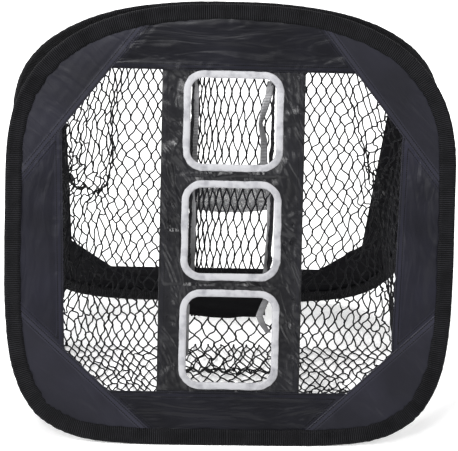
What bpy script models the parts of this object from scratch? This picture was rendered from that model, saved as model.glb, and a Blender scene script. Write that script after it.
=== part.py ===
"""Pop-up golf chipping net: two spring-hoop panels hinged along their top edges.

The front panel carries a target strip with three bound holes, a net pocket behind
each hole and a large catch net behind each side window. The rear panel is an open
frame that props it up. Each panel is modelled flat, X across, Y up from the hinge
and Z out of the tent, under an empty that stands on the hinge axis and leans it.
"""
import math

import bmesh
import bpy
import numpy as np
from mathutils import Vector

# ---- driving dimensions, in metres ----
PANEL_WIDTH = 0.635
PANEL_LENGTH = 0.622
WIDEST_ABOVE_FOOT = 0.385
TOP_ROUNDNESS = 2.5        # exponent of the domed top; the foot is squarer
FOOT_ROUNDNESS = 5.0
LEAN = math.radians(21.5)  # of each panel from upright, when fully open

HOOP_RADIUS = 0.0015
HOOP_END_GAP = 0.001       # between the wire's two ends
FERRULE_LENGTH = 0.030
FERRULE_INNER = 0.0018
FERRULE_OUTER = 0.0023
SLEEVE_BORE = 0.0026       # radius of the tunnel that the hoop runs in
EDGE_RADIUS = 0.0035       # half the thickness of the binding round the hoop
BINDING_WIDTH = 0.023
BINDING_LEG = 0.0018       # half the thickness where the binding is stitched down
BINDING_NECK = 0.006       # from the hoop's line to where the two legs meet
BINDING_THROAT = 0.0032    # and to where the tunnel narrows to the cloth's slot
CLOTH_INSET = 0.004        # and to the cloth's own edge
HINGE_GAP = 0.0013         # from the hinge axis to the binding's inner face
FLAP_HALF = 0.060          # of the hinge tape's length
FLAP_TOP = 0.003
FLAP_FOOT = 0.022
FOOT_FLAT = 0.0005         # how far the edge is pressed flat on the ground

FABRIC = 0.0012
NET = 0.0016
TAPE = 0.0008
GAP = 0.0003

OPENING_TOP = 0.090        # below the top edge, as are the other heights here
OPENING_FOOT = 0.546
CORNER_TOP = (0.162, 0.240, 0.187)    # half width at the top, at the side, height there
CORNER_FOOT = (0.161, 0.232, 0.470)
SEAM_TOP = ((0.1335, 0.044), (0.295, 0.249))   # a point of the seam at each end
SEAM_FOOT = ((0.112, 0.598), (0.293, 0.432))

STRIP_HALF = 0.101
HOLE_CENTRES = (0.164, 0.318, 0.472)
HOLE_HALF = 0.0615
HOLE_CORNER = 0.019
RIM_WIDTH = 0.0105
RIM_HALF = 0.0017
RIM_ROUND = 0.0007         # rounding of the rim's inner edge
RIM_TUCK = 0.0028          # how far the strip reaches into the folded rim

POCKET_DROP = 0.068        # of a pocket's lowest line below its hole
POCKET_DEPTH = 0.095
POCKET_HALF = 0.056
POCKET_SEAM = 0.004        # from a hole's edge to where the pocket's net is sewn
TAPE_WIDTH = 0.009
TAPE_START = 0.012         # from the pocket net's ends to the tapes' ends
LOWER_TAPE = 0.071         # length of the tapes behind the lowest hole
NET_SIDE = 0.088           # where the side nets end behind the strip
NET_OUTER = 0.240          # and at the outer end, behind the side bands
NET_TAPER = 0.006          # how much nearer the outer end comes at the ground
NET_ROOM = 0.0022          # between a net's back and its outer gusset
SEWN = 0.006               # how far a net's edge runs on behind the hem
FLOOR_LINE = 0.070         # where the nets meet the ground, behind the hinge
FLOOR_UP = 0.0012
FLOOR_START = 0.0025       # from the back net's foot to the floor net's edge
FLOOR_FLAT = 0.45          # share of the floor net that lies on the ground
TIE_HEIGHT = 0.235
TIE_SIDE = 0.230           # where the net is held, and how far short of the rear
TIE_SHORT = 0.012          # panel's hinge plane
TIE_ACROSS = 0.2445        # the webbing loop's middle, its half length and half width
TIE_HALF = (0.010, 0.005)

SINK = EDGE_RADIUS - FOOT_FLAT
OFFSET = EDGE_RADIUS + HINGE_GAP      # from the hinge axis to a panel's middle plane
HINGE_HEIGHT = (
    (PANEL_LENGTH - EDGE_RADIUS) * math.cos(LEAN) - OFFSET * math.sin(LEAN) + SINK
)
CENTRE_DOWN = PANEL_LENGTH - WIDEST_ABOVE_FOOT
BACK_OF_CLOTH = FABRIC / 2 + GAP + NET / 2
BACK_OF_RIM = RIM_HALF + GAP + NET / 2

# ---- colours: base, roughness, metallic ----
BLACK_NYLON = ((0.022, 0.022, 0.026), 0.55, 0.0)
BLACK_TAPE = ((0.010, 0.010, 0.011), 0.85, 0.0)
WHITE_TAPE = ((0.78, 0.78, 0.80), 0.60, 0.0)
GREY_TAPE = ((0.16, 0.16, 0.17), 0.75, 0.0)
NETTING = ((0.006, 0.006, 0.006), 0.70, 0.0)
GAUZE = ((0.05, 0.05, 0.05), 0.80, 0.0)
SPRING_STEEL = ((0.55, 0.55, 0.57), 0.30, 1.0)


# ---- scene, collections and small helpers ----
for old in list(bpy.data.objects):
    bpy.data.objects.remove(old)
parts = bpy.data.collections.new("golf_chipping_net")
cutters = bpy.data.collections.new("cutters")
bpy.context.scene.collection.children.link(parts)
bpy.context.scene.collection.children.link(cutters)


def finish(obj, look, parent=None):
    """Names the object's own material, files it with the parts and hangs it on its panel."""
    colour, roughness, metallic = look
    mat = bpy.data.materials.new(obj.name)
    mat.use_nodes = True
    shader = mat.node_tree.nodes["Principled BSDF"]
    shader.inputs["Base Color"].default_value = (*colour, 1)
    shader.inputs["Roughness"].default_value = roughness
    shader.inputs["Metallic"].default_value = metallic
    obj.data.materials.append(mat)
    parts.objects.link(obj)
    obj.parent = parent
    return obj


def poly_curve(name, loops, closed=True, flat=True):
    """A curve object of straight-sided splines through the loops' points."""
    curve = bpy.data.curves.new(name, "CURVE")
    curve.dimensions = "2D" if flat else "3D"
    curve.render_resolution_u = 0
    for loop in loops:
        spline = curve.splines.new("POLY")
        spline.points.add(len(loop) - 1)
        for point, place in zip(spline.points, loop):
            point.co = (*place, *([0.0] * (3 - len(place))), 1)
        spline.use_cyclic_u = closed
    return bpy.data.objects.new(name, curve)


def flat_piece(name, loops, thickness, look, parent, out=OFFSET):
    """Cloth or tape cut to an outline, lying in the panel's plane."""
    obj = poly_curve(name, loops)
    obj.data.fill_mode = "BOTH"
    obj.data.extrude = thickness / 2
    obj.location.z = out
    return finish(obj, look, parent)


def as_mesh(obj):
    """The same object as a closed mesh, so that it can be cut."""
    bpy.context.scene.collection.objects.link(obj)
    bpy.context.view_layer.update()
    seen = obj.evaluated_get(bpy.context.evaluated_depsgraph_get())
    mesh = bpy.data.meshes.new_from_object(seen)
    shape = bmesh.new()
    shape.from_mesh(mesh)
    bmesh.ops.remove_doubles(shape, verts=shape.verts, dist=0.00001)
    bmesh.ops.recalc_face_normals(shape, faces=shape.faces)
    shape.to_mesh(mesh)
    shape.free()
    out = bpy.data.objects.new(obj.name + "_mesh", mesh)
    place, name = obj.location.copy(), obj.name
    bpy.data.objects.remove(obj)
    out.name = name
    out.location = place
    return out


# ---- the panel's outline ----
def along(points, count, closed=True):
    """The same line again as count evenly spaced points."""
    line = np.array(points, float)
    if closed:
        line = np.vstack([line, line[:1]])
    length = np.concatenate([[0], np.cumsum(np.linalg.norm(np.diff(line, axis=0), axis=1))])
    at = np.linspace(0, length[-1], count + 1 if closed else count)
    even = np.stack([np.interp(at, length, line[:, k]) for k in range(2)], axis=1)
    return even[:count]


def outline(inset, count):
    """The hoop's rounded square, moved inwards by inset, from the middle of the foot."""
    turn = np.linspace(-math.pi / 2, 3 * math.pi / 2, 4001)[:-1]
    side, up = np.cos(turn), np.sin(turn)
    power = 2 / np.where(up >= 0, TOP_ROUNDNESS, FOOT_ROUNDNESS)
    tall = np.where(up >= 0, CENTRE_DOWN, WIDEST_ABOVE_FOOT)
    x = PANEL_WIDTH / 2 * np.sign(side) * np.abs(side) ** power
    y = tall * np.sign(up) * np.abs(up) ** power - CENTRE_DOWN
    line = along(np.stack([x, y], axis=1), 1440)
    tangent = np.roll(line, -1, axis=0) - np.roll(line, 1, axis=0)
    tangent /= np.linalg.norm(tangent, axis=1)[:, None]
    inward = np.stack([-tangent[:, 1], tangent[:, 0]], axis=1)
    return along(line + inset * inward, count)


def beyond(line, start, end):
    """How far each point lies to the left of the line from start to end."""
    (ax, ay), (bx, by) = start, end
    length = math.hypot(bx - ax, by - ay)
    return [((bx - ax) * (y - ay) - (by - ay) * (x - ax)) / length for x, y in line]


def clip(polygon, start, end):
    """The part of a polygon to the left of a line, moved over by half a sewing gap."""
    far = [d - GAP / 2 for d in beyond(polygon, start, end)]
    kept = []
    for i, here in enumerate(polygon):
        j = (i + 1) % len(polygon)
        if far[i] >= 0:
            kept.append(tuple(here))
        if (far[i] >= 0) != (far[j] >= 0):
            share = far[i] / (far[i] - far[j])
            there = polygon[j]
            kept.append(tuple(a + share * (b - a) for a, b in zip(here, there)))
    return kept


# ---- pieces that both panels have ----
SLOT = FABRIC / 2 + GAP    # half the slot that the cloth's edge lies in
SLEEVE = (
    [(BINDING_WIDTH - EDGE_RADIUS, BINDING_LEG), (BINDING_NECK, BINDING_LEG)]
    + [
        (-EDGE_RADIUS * math.sin(a), EDGE_RADIUS * math.cos(a))
        for a in np.linspace(-0.55, math.pi + 0.55, 8)
    ]
    + [(BINDING_NECK, -BINDING_LEG), (BINDING_WIDTH - EDGE_RADIUS, -BINDING_LEG)]
    + [(BINDING_WIDTH - EDGE_RADIUS, -SLOT), (BINDING_THROAT, -SLOT)]
    + [
        (-SLEEVE_BORE * math.sin(a), SLEEVE_BORE * math.cos(a))
        for a in np.linspace(math.pi + 0.9, -0.9, 7)
    ]
    + [(BINDING_THROAT, SLOT), (BINDING_WIDTH - EDGE_RADIUS, SLOT)]
)


def swept(name, path, profile):
    """A closed ring of the profile's section along a closed flat path."""
    section = poly_curve(name + "_section", [profile])
    cutters.objects.link(section)
    section.hide_render = True
    section.display_type = "WIRE"
    ring = poly_curve(name, [path])
    ring.data.bevel_mode = "OBJECT"
    ring.data.bevel_object = section
    ring.location.z = OFFSET
    return ring


def hoop(side, panel):
    """Spring wire bent into one turn, its ends meeting in a crimped ferrule at the foot."""
    line = outline(EDGE_RADIUS, 72)
    line = np.vstack([line, line[:1]])
    line[0] += (HOOP_END_GAP / 2, 0)
    line[-1] -= (HOOP_END_GAP / 2, 0)
    wire = poly_curve(side + "_hoop", [line], closed=False, flat=False)
    wire.data.bevel_depth = HOOP_RADIUS
    wire.data.bevel_resolution = 2
    wire.data.use_fill_caps = True
    wire.location.z = OFFSET
    finish(wire, SPRING_STEEL, panel)

    shape = bmesh.new()
    corners = [(FERRULE_LENGTH / 2, FERRULE_OUTER), (-FERRULE_LENGTH / 2, FERRULE_OUTER)]
    corners += [(-FERRULE_LENGTH / 2, FERRULE_INNER), (FERRULE_LENGTH / 2, FERRULE_INNER)]
    ring = [shape.verts.new((x, 0, r)) for x, r in corners]
    for i in range(4):
        shape.edges.new((ring[i], ring[(i + 1) % 4]))
    bmesh.ops.spin(
        shape,
        geom=shape.edges[:],
        axis=(1, 0, 0),
        cent=(0, 0, 0),
        angle=2 * math.pi,
        steps=16,
        use_merge=True,
    )
    bmesh.ops.recalc_face_normals(shape, faces=shape.faces)
    mesh = bpy.data.meshes.new(side + "_hoop_ferrule")
    shape.to_mesh(mesh)
    shape.free()
    ferrule = bpy.data.objects.new(side + "_hoop_ferrule", mesh)
    ferrule.location = (0, -PANEL_LENGTH + EDGE_RADIUS, OFFSET)
    finish(ferrule, SPRING_STEEL, panel)


def binding(side, panel):
    """Edge tape folded round the hoop, pressed flat where it stands on the ground."""
    ring = swept(side + "_binding", outline(EDGE_RADIUS, 72), SLEEVE)
    ring = as_mesh(ring)
    bpy.ops.mesh.primitive_cube_add(size=1)
    ground = bpy.context.object
    ground.name = side + "_ground"
    for home in list(ground.users_collection):
        home.objects.unlink(ground)
    cutters.objects.link(ground)
    ground.scale = (2 * PANEL_WIDTH, PANEL_WIDTH / 3, PANEL_WIDTH / 6)
    foot_y = PANEL_LENGTH * math.sin(LEAN)
    ground.location = (0, -foot_y if side == "front" else foot_y, -ground.scale.z / 2)
    ground.hide_render = True
    ground.display_type = "WIRE"
    cut = ring.modifiers.new("flat_foot", "BOOLEAN")
    cut.operation = "DIFFERENCE"
    cut.object = ground
    return finish(ring, BLACK_TAPE, panel)


def mirrored(seam):
    """The same seam on the panel's other side."""
    return tuple((-x, y) for x, y in seam)


def cloth(side, panel):
    """The panel's cloth: four bands and four corner patches, sewn together edge to edge."""
    edge = [tuple(p) for p in outline(EDGE_RADIUS + CLOTH_INSET, 96)]
    (ax, ad), (bx, bd) = SEAM_TOP
    top_right = ((ax, -ad), (bx, -bd))
    top_left = mirrored(top_right)
    (ax, ad), (bx, bd) = SEAM_FOOT
    foot_right = ((ax, -ad), (bx, -bd))
    foot_left = mirrored(foot_right)

    corners = {
        "corner_top_right": (top_right[1], top_right[0]),
        "corner_top_left": (top_left[0], top_left[1]),
        "corner_foot_right": (foot_right[0], foot_right[1]),
        "corner_foot_left": (foot_left[1], foot_left[0]),
    }
    # a patch is the cloth on the far side of its seam from the panel's middle
    middle = (0, -CENTRE_DOWN)
    for name, (start, end) in corners.items():
        line = (start, end) if beyond([middle], start, end)[0] < 0 else (end, start)
        flat_piece(f"{side}_{name}", [clip(edge, *line)], FABRIC, BLACK_NYLON, panel)

    inner = {
        "band_top": (((0.3, -OPENING_TOP), (-0.3, -OPENING_TOP)), top_left, top_right),
        "band_foot": (((-0.3, -OPENING_FOOT), (0.3, -OPENING_FOOT)), foot_left, foot_right),
    }
    side_line = ((CORNER_TOP[1], -CORNER_TOP[2]), (CORNER_FOOT[1], -CORNER_FOOT[2]))
    inner["band_right"] = (side_line, top_right, foot_right)
    inner["band_left"] = (mirrored(side_line), top_left, foot_left)
    for name, (hem, seam_a, seam_b) in inner.items():
        if beyond([middle], *hem)[0] > 0:
            hem = hem[::-1]
        piece = clip(edge, *hem)
        for seam in (seam_a, seam_b):
            if beyond([middle], *seam)[0] < 0:
                seam = seam[::-1]
            piece = clip(piece, *seam)
        flat_piece(f"{side}_{name}", [piece], FABRIC, BLACK_NYLON, panel)


def hinge_flap(side, panel):
    """Half of the folded tape that joins the two bindings along the top."""
    face = [(-FLAP_HALF, -FLAP_FOOT), (FLAP_HALF, -FLAP_FOOT)]
    face += [(FLAP_HALF, -FLAP_TOP), (-FLAP_HALF, -FLAP_TOP)]
    out = HINGE_GAP - GAP - TAPE / 2
    flat_piece(side + "_hinge_flap", [face], TAPE, BLACK_TAPE, panel, out)


def panel_frame(side):
    """The empty on the hinge axis that leans a panel's pieces."""
    frame = bpy.data.objects.new(side + "_panel", None)
    parts.objects.link(frame)
    frame.location = (0, 0, HINGE_HEIGHT)
    turned = 0 if side == "front" else math.pi
    frame.rotation_euler = (math.pi / 2 - LEAN, 0, turned)
    return frame


def build_panel(side):
    panel = panel_frame(side)
    hoop(side, panel)
    binding(side, panel)
    cloth(side, panel)
    hinge_flap(side, panel)
    return panel


# ---- the target strip ----
def rounded_square(centre_down, half, radius, steps=5):
    """A square with round corners about a point on the strip's middle line."""
    points = []
    for k, (sx, sy) in enumerate([(1, 1), (-1, 1), (-1, -1), (1, -1)]):
        for i in range(steps + 1):
            a = math.pi / 2 * (k + i / steps)
            x = sx * (half - radius) + radius * math.cos(a)
            y = sy * (half - radius) + radius * math.sin(a)
            points.append((x, y - centre_down))
    return points


def target_strip(panel):
    """The cloth strip down the middle, and the white tape bound round its three holes."""
    top, foot = OPENING_TOP + GAP, OPENING_FOOT - GAP
    rectangle = [(-STRIP_HALF, -foot), (STRIP_HALF, -foot)]
    rectangle += [(STRIP_HALF, -top), (-STRIP_HALF, -top)]
    grow = RIM_WIDTH - RIM_TUCK
    holes = [
        rounded_square(down, HOLE_HALF + grow, HOLE_CORNER + grow) for down in HOLE_CENTRES
    ]
    flat_piece("target_strip", [rectangle] + holes, FABRIC, BLACK_NYLON, panel)
    edge = RIM_HALF - RIM_ROUND
    section = [(0, -edge), (0, edge), (RIM_ROUND, RIM_HALF), (RIM_WIDTH, RIM_HALF)]
    section += [(RIM_WIDTH, SLOT), (grow - GAP, SLOT), (grow - GAP, -SLOT)]
    section += [(RIM_WIDTH, -SLOT), (RIM_WIDTH, -RIM_HALF), (RIM_ROUND, -RIM_HALF)]
    outward = [(-x, y) for x, y in section[::-1]]
    for name, down in zip(("upper", "middle", "lower"), HOLE_CENTRES):
        path = rounded_square(down, HOLE_HALF, HOLE_CORNER)
        ring = swept(f"target_rim_{name}", path, outward)
        finish(ring, WHITE_TAPE, panel)


# ---- nets, in the object's own frame ----
def behind_front(x, down, behind):
    """A point behind the front panel's middle plane, down from its top edge."""
    out = OFFSET - behind
    y = -out * math.cos(LEAN) - down * math.sin(LEAN)
    z = HINGE_HEIGHT + out * math.sin(LEAN) - down * math.cos(LEAN)
    return Vector((x, y, z))


def sheet(name, place, across, down, thickness, look):
    """A soft sheet whose points come from place(u, v), given its thickness by Solidify."""
    shape = bmesh.new()
    bmesh.ops.create_grid(shape, x_segments=across, y_segments=down, size=0.5)
    for vert in shape.verts:
        vert.co = place(vert.co.x + 0.5, 0.5 - vert.co.y)
    mesh = bpy.data.meshes.new(name)
    shape.to_mesh(mesh)
    shape.free()
    obj = bpy.data.objects.new(name, mesh)
    wall = obj.modifiers.new("thickness", "SOLIDIFY")
    wall.thickness = thickness
    wall.offset = 0
    wall.use_even_offset = True
    return finish(obj, look)


def upper_edge(x):
    """How far down the front the side net's upper edge is sewn, at x from the middle."""
    top, side, down = CORNER_TOP
    if abs(x) <= top:
        return OPENING_TOP - SEWN
    return OPENING_TOP - SEWN + (abs(x) - top) * (down - OPENING_TOP) / (side - top)


def lower_edge(x):
    """How far down the front the floor net's front edge is sewn, at x from the middle."""
    foot, side, down = CORNER_FOOT
    if abs(x) <= foot:
        return OPENING_FOOT + SEWN
    return OPENING_FOOT + SEWN - (abs(x) - foot) * (OPENING_FOOT - down) / (side - foot)


def back_point(x_sign, u, v):
    """On the catch net behind a window, from the strip outwards and from the top down."""
    x = NET_SIDE + NET + (NET_OUTER - NET_SIDE - NET) * u
    top = behind_front(x, upper_edge(x), BACK_OF_CLOTH)
    low = Vector((x - NET_TAPER * u, FLOOR_LINE - NET_TAPER * u, FLOOR_UP + NET))
    point = top.lerp(low, v)
    tie_share = (top.z - TIE_HEIGHT) / (top.z - low.z)
    tie_y = (HINGE_HEIGHT - TIE_HEIGHT) * math.tan(LEAN) - TIE_SHORT
    tie = Vector((TIE_SIDE, tie_y, TIE_HEIGHT))
    pull = tie - top.lerp(low, tie_share)
    near = v / tie_share if v < tie_share else (1 - v) / (1 - tie_share)
    point += pull * u ** 2 * near ** 1.4
    point.x *= x_sign
    return point


def floor_height(share, rise):
    """The floor net lies on the ground, then rises to the hem at the front."""
    return FLOOR_UP + NET + rise * max(0.0, (share - FLOOR_FLAT) / (1 - FLOOR_FLAT)) ** 1.7


def floor_point(x, share):
    """On the floor net: at x from the middle, from the floor line forwards."""
    front = behind_front(x, lower_edge(x), BACK_OF_CLOTH)
    outwards = max(0.0, (abs(x) - NET_SIDE) / (NET_OUTER - NET_SIDE))
    start = FLOOR_LINE - FLOOR_START - NET_TAPER * outwards
    y = start + (front.y - start) * share
    return Vector((x, y, floor_height(share, front.z - FLOOR_UP - NET)))


def side_net(name, x_sign):
    """The catch net behind a window: its back, its outer gusset and its inner divider."""
    sheet(
        "catch_net_" + name,
        lambda u, v: back_point(x_sign, u, v),
        6, 10, NET, NETTING,
    )
    foot_x = NET_OUTER - NET_TAPER

    def gusset(u, v):
        v = 0.06 + 0.94 * v          # it starts below the hem
        back = back_point(x_sign, 1.0, v)
        fore = floor_point(foot_x, 1.0)
        top = behind_front(NET_OUTER, upper_edge(NET_OUTER), BACK_OF_CLOTH)
        hem = top.lerp(fore, v)
        hem.x *= x_sign
        point = back.lerp(hem, u)
        if v > 0.9:
            low = floor_point(foot_x, 0.02 + 0.98 * u)
            low.x *= x_sign
            point = point.lerp(low, (v - 0.9) / 0.1)
        point.x += x_sign * NET_ROOM
        return point

    sheet("side_gusset_" + name, gusset, 6, 8, NET, NETTING)

    def divider(u, v):
        x = NET_SIDE - NET / 4
        drop = 0.04 + 0.955 * v      # it starts below the seam and stops above the floor
        top = behind_front(x, OPENING_TOP - SEWN, BACK_OF_CLOTH)
        back = top.lerp(Vector((x, FLOOR_LINE, FLOOR_UP + NET)), drop)
        low = floor_point(x, 1 - u)
        fore = behind_front(x, OPENING_TOP, BACK_OF_CLOTH).lerp(
            behind_front(x, OPENING_FOOT, BACK_OF_CLOTH), drop
        )
        point = fore.lerp(back, u)
        if v > 0.75:
            low.z += NET + GAP
            point = point.lerp(low, ((v - 0.75) / 0.25) ** 2)
        point.x *= x_sign
        return point

    sheet("net_divider_" + name, divider, 6, 8, NET, NETTING)
    inner_x = NET_SIDE + NET
    sheet(
        "floor_net_" + name,
        lambda u, v: floor_point(x_sign * (inner_x + (foot_x - inner_x) * u), v),
        5, 10, NET, NETTING,
    )


# ---- pockets behind the target holes ----
def pocket_line(index):
    """How far down and how far back a pocket's lowest line is."""
    return HOLE_CENTRES[index] + HOLE_HALF + POCKET_DROP, POCKET_DEPTH


def quad(name, corners, thickness, look, across=2, down=2):
    """A flat sheet between four corners: top left, top right, foot left, foot right."""
    a, b, c, d = corners
    sheet(name, lambda u, v: a.lerp(b, u).lerp(c.lerp(d, u), v), across, down, thickness, look)


def pocket(name, index):
    """The net that hangs behind a hole, its cloth base, its end gussets and its side tapes."""
    top = HOLE_CENTRES[index] - HOLE_HALF - POCKET_SEAM
    foot = HOLE_CENTRES[index] + HOLE_HALF + POCKET_SEAM
    low, deep = pocket_line(index)
    fore = BACK_OF_RIM
    half = POCKET_HALF
    hang = [behind_front(x, top, fore) for x in (-half, half)]
    hang += [behind_front(x, low, deep) for x in (-half, half)]
    quad("pocket_net_" + name, hang, NET, NETTING)
    base = [behind_front(x, foot + 0.003, fore) for x in (-half, half)]
    base += [behind_front(x, low - NET / 2, deep - 2 * NET) for x in (-half, half)]
    quad("pocket_base_" + name, base, NET, GAUZE)
    for label, s in (("left", -1), ("right", 1)):
        x = s * (half + NET / 2 + 1.5 * GAP)
        corners = [behind_front(x, top + 0.010, fore), behind_front(x, top + 0.016, fore + 0.005)]
        corners += [behind_front(x, foot, fore), behind_front(x, low - NET, deep - NET)]
        quad(f"pocket_gusset_{name}_{label}", corners, NET, NETTING)


def pocket_tapes(name, upper, lower):
    """Grey tapes that bind the two sides of a pocket's net, on its inner face."""
    for label, s in (("left", -1), ("right", 1)):
        reach = [Vector((s * (POCKET_HALF - w), 0, 0)) for w in (TAPE_WIDTH, TAPE)]
        corners = [end + out for end in (upper, lower) for out in reach]
        if s > 0:
            corners = [corners[1], corners[0], corners[3], corners[2]]
        quad(f"pocket_tape_{name}_{label}", corners, TAPE, GREY_TAPE)


def pockets():
    """The three pockets: nets under the upper two holes, the shared floor under the last."""
    lift = NET / 2 + TAPE / 2 + 2 * GAP
    for index, name in ((0, "upper"), (1, "middle")):
        pocket(name, index)
        start = Vector((HOLE_CENTRES[index] - HOLE_HALF - POCKET_SEAM, BACK_OF_RIM))
        end = Vector(pocket_line(index))
        run = (end - start).normalized()
        step = Vector((run.y, -run.x)) * lift
        first = start + run * TAPE_START + step
        last = end - run * TAPE_START + step
        pocket_tapes(name, behind_front(0, *first), behind_front(0, *last))
    low, deep = pocket_line(1)
    top = behind_front(0, low + 4 * NET, deep)
    foot = Vector((0, FLOOR_LINE - FLOOR_START - NET, FLOOR_UP + 2 * NET))
    half = NET_SIDE - 2 * NET
    run = (foot - top).normalized()
    corners = [top + Vector((s * half, 0, 0)) for s in (-1, 1)]
    corners += [foot + Vector((s * half, 0, 0)) for s in (-1, 1)]
    quad("pocket_net_lower", corners, NET, NETTING)
    step = Vector((0, run.z, -run.y)).normalized() * lift
    if step.y > 0:
        step = -step
    first = top + run * POCKET_SEAM + step
    pocket_tapes("lower", first, first + run * LOWER_TAPE)
    sheet(
        "floor_net_centre",
        lambda u, v: floor_point(half * (2 * u - 1), 0.02 + 0.98 * v),
        6, 10, NET, NETTING,
    )


# ---- net ties on the rear panel ----
def net_tie(name, x_sign, panel):
    """A short webbing loop on the rear panel's side band that holds the net out."""
    down = (HINGE_HEIGHT - TIE_HEIGHT) / math.cos(LEAN)
    along_x, half = TIE_HALF
    x = -x_sign * TIE_ACROSS      # the rear panel's X runs the other way
    face = [(x - along_x, -down - half), (x + along_x, -down - half)]
    face += [(x + along_x, -down + half), (x - along_x, -down + half)]
    out = OFFSET - FABRIC / 2 - GAP - TAPE / 2
    flat_piece("net_tie_" + name, [face], TAPE, BLACK_TAPE, panel, out)


front = build_panel("front")
rear = build_panel("rear")
target_strip(front)
pockets()
for side_name, sign in (("left", -1), ("right", 1)):
    side_net(side_name, sign)
    net_tie(side_name, sign, rear)
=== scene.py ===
"""Pop-up golf chipping net: how each sewn piece looks, in the order it is put together."""
import math

import bmesh
import bpy
import numpy as np
from mathutils import Matrix, Quaternion, Vector, noise


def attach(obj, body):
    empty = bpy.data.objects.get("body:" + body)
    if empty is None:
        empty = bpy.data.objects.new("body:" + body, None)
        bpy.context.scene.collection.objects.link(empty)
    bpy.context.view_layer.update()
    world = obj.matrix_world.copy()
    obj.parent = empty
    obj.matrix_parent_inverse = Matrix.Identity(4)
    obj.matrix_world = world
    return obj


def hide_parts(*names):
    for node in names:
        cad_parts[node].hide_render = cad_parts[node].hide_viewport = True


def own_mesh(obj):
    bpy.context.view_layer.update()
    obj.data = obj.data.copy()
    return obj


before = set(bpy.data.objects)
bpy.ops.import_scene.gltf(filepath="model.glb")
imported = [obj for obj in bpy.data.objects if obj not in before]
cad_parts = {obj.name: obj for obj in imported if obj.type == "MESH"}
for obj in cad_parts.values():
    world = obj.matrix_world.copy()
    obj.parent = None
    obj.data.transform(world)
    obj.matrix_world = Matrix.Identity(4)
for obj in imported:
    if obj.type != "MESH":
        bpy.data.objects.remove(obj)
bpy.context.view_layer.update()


# ---- the studio ----
# The net stands on a plain white sweep. A soft key lamp hangs above it and to the left,
# weaker ones stand in front, at both sides and behind, and a pale surround fills in.
scene = bpy.context.scene
scene.view_settings.view_transform = "Standard"

camera = bpy.data.objects.new("camera", bpy.data.cameras.new("camera"))
scene.collection.objects.link(camera)
camera.data.lens = 144.5
camera.location = (-0.1606, -2.4817, 1.3356)
aim = Vector((-0.0019, -0.1000, 0.2815)) - camera.location
level = aim.to_track_quat("-Z", "Y")
camera.rotation_euler = (level @ Quaternion((0, 0, 1), math.radians(2.607))).to_euler()
scene.camera = camera

world = bpy.data.worlds.new("surround")
world.use_nodes = True
surround = world.node_tree.nodes["Background"].inputs
surround["Color"].default_value = (1, 1, 1, 1)
surround["Strength"].default_value = 0.30
scene.world = world

for name, place, size, watts in (
    ("key", (-0.7, -0.9, 2.5), 0.7, 75),
    ("front", (-0.9, -2.2, 2.3), 0.5, 26),
    ("left", (-2.2, -0.7, 0.9), 0.7, 28),
    ("right", (2.0, -1.6, 1.4), 0.7, 24),
    ("back", (0.2, 2.0, 2.2), 1.6, 60),
):
    lamp = bpy.data.lights.new(name, "AREA")
    lamp.size = size
    lamp.energy = watts
    light = bpy.data.objects.new(name, lamp)
    light.location = place
    towards = Vector((0, 0, 0.25)) - light.location
    light.rotation_euler = towards.to_track_quat("-Z", "Y").to_euler()
    scene.collection.objects.link(light)

sweep_shape = bmesh.new()
bmesh.ops.create_grid(sweep_shape, x_segments=1, y_segments=1, size=6)
sweep_mesh = bpy.data.meshes.new("sweep")
sweep_shape.to_mesh(sweep_mesh)
sweep_shape.free()
sweep = bpy.data.objects.new("sweep", sweep_mesh)
scene.collection.objects.link(sweep)
paper = bpy.data.materials.new("white paper")
paper.use_nodes = True
skin = paper.node_tree.nodes["Principled BSDF"].inputs
skin["Base Color"].default_value = (0.93, 0.93, 0.93, 1)
skin["Roughness"].default_value = 0.9
skin["Emission Color"].default_value = (1, 1, 1, 1)
skin["Emission Strength"].default_value = 0.34
sweep.data.materials.append(paper)


# ---- edge binding ----
# A ribbed black tape 23 mm wide is folded over the spring hoop and stitched through the
# cloth with one row near its hem. It puckers a little, most of all round the corners.
PANEL_WIDTH = 0.635
PANEL_LENGTH = 0.622
WIDEST_DOWN = 0.237            # below the top edge, where the panel is widest
LEAN = math.radians(21.5)
HINGE_HEIGHT = 0.576704
MIDDLE = 0.0048                # from the hinge axis out to a panel's middle plane
HOOP_INSET = 0.0035            # from a panel's edge in to its hoop
PANEL_MIDDLE = (0, WIDEST_DOWN)
ROUND_BELOW, ROUND_ABOVE = 5.0, 2.5    # powers of the outline's two halves
CLOTH_WALL = 0.0005
TAPE_REACH, TAPE_EDGE, TAPE_LEG = 0.0195, 0.0035, 0.0017


def edge_line(inset, count):
    """The panel's rounded square, moved inwards: even points and their inward directions."""
    turn = np.linspace(-math.pi / 2, 3 * math.pi / 2, 6001)[:-1]
    side, up = np.cos(turn), np.sin(turn)
    power = 2 / np.where(up >= 0, ROUND_ABOVE, ROUND_BELOW)
    tall = np.where(up >= 0, WIDEST_DOWN, PANEL_LENGTH - WIDEST_DOWN)
    x = PANEL_WIDTH / 2 * np.sign(side) * np.abs(side) ** power
    y = tall * np.sign(up) * np.abs(up) ** power - WIDEST_DOWN

    def evenly(line, n):
        ring = np.vstack([line, line[:1]])
        far = np.concatenate([[0], np.cumsum(np.linalg.norm(np.diff(ring, axis=0), axis=1))])
        at = np.linspace(0, far[-1], n + 1)[:-1]
        return np.stack([np.interp(at, far, ring[:, k]) for k in range(2)], axis=1), far[-1]

    def inwards(line):
        ahead = np.roll(line, -1, axis=0) - np.roll(line, 1, axis=0)
        ahead /= np.linalg.norm(ahead, axis=1)[:, None]
        return np.stack([-ahead[:, 1], ahead[:, 0]], axis=1)

    line = evenly(np.stack([x, y], axis=1), 1440)[0]
    line, length = evenly(line + inset * inwards(line), count)
    return line, inwards(line), length


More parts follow.
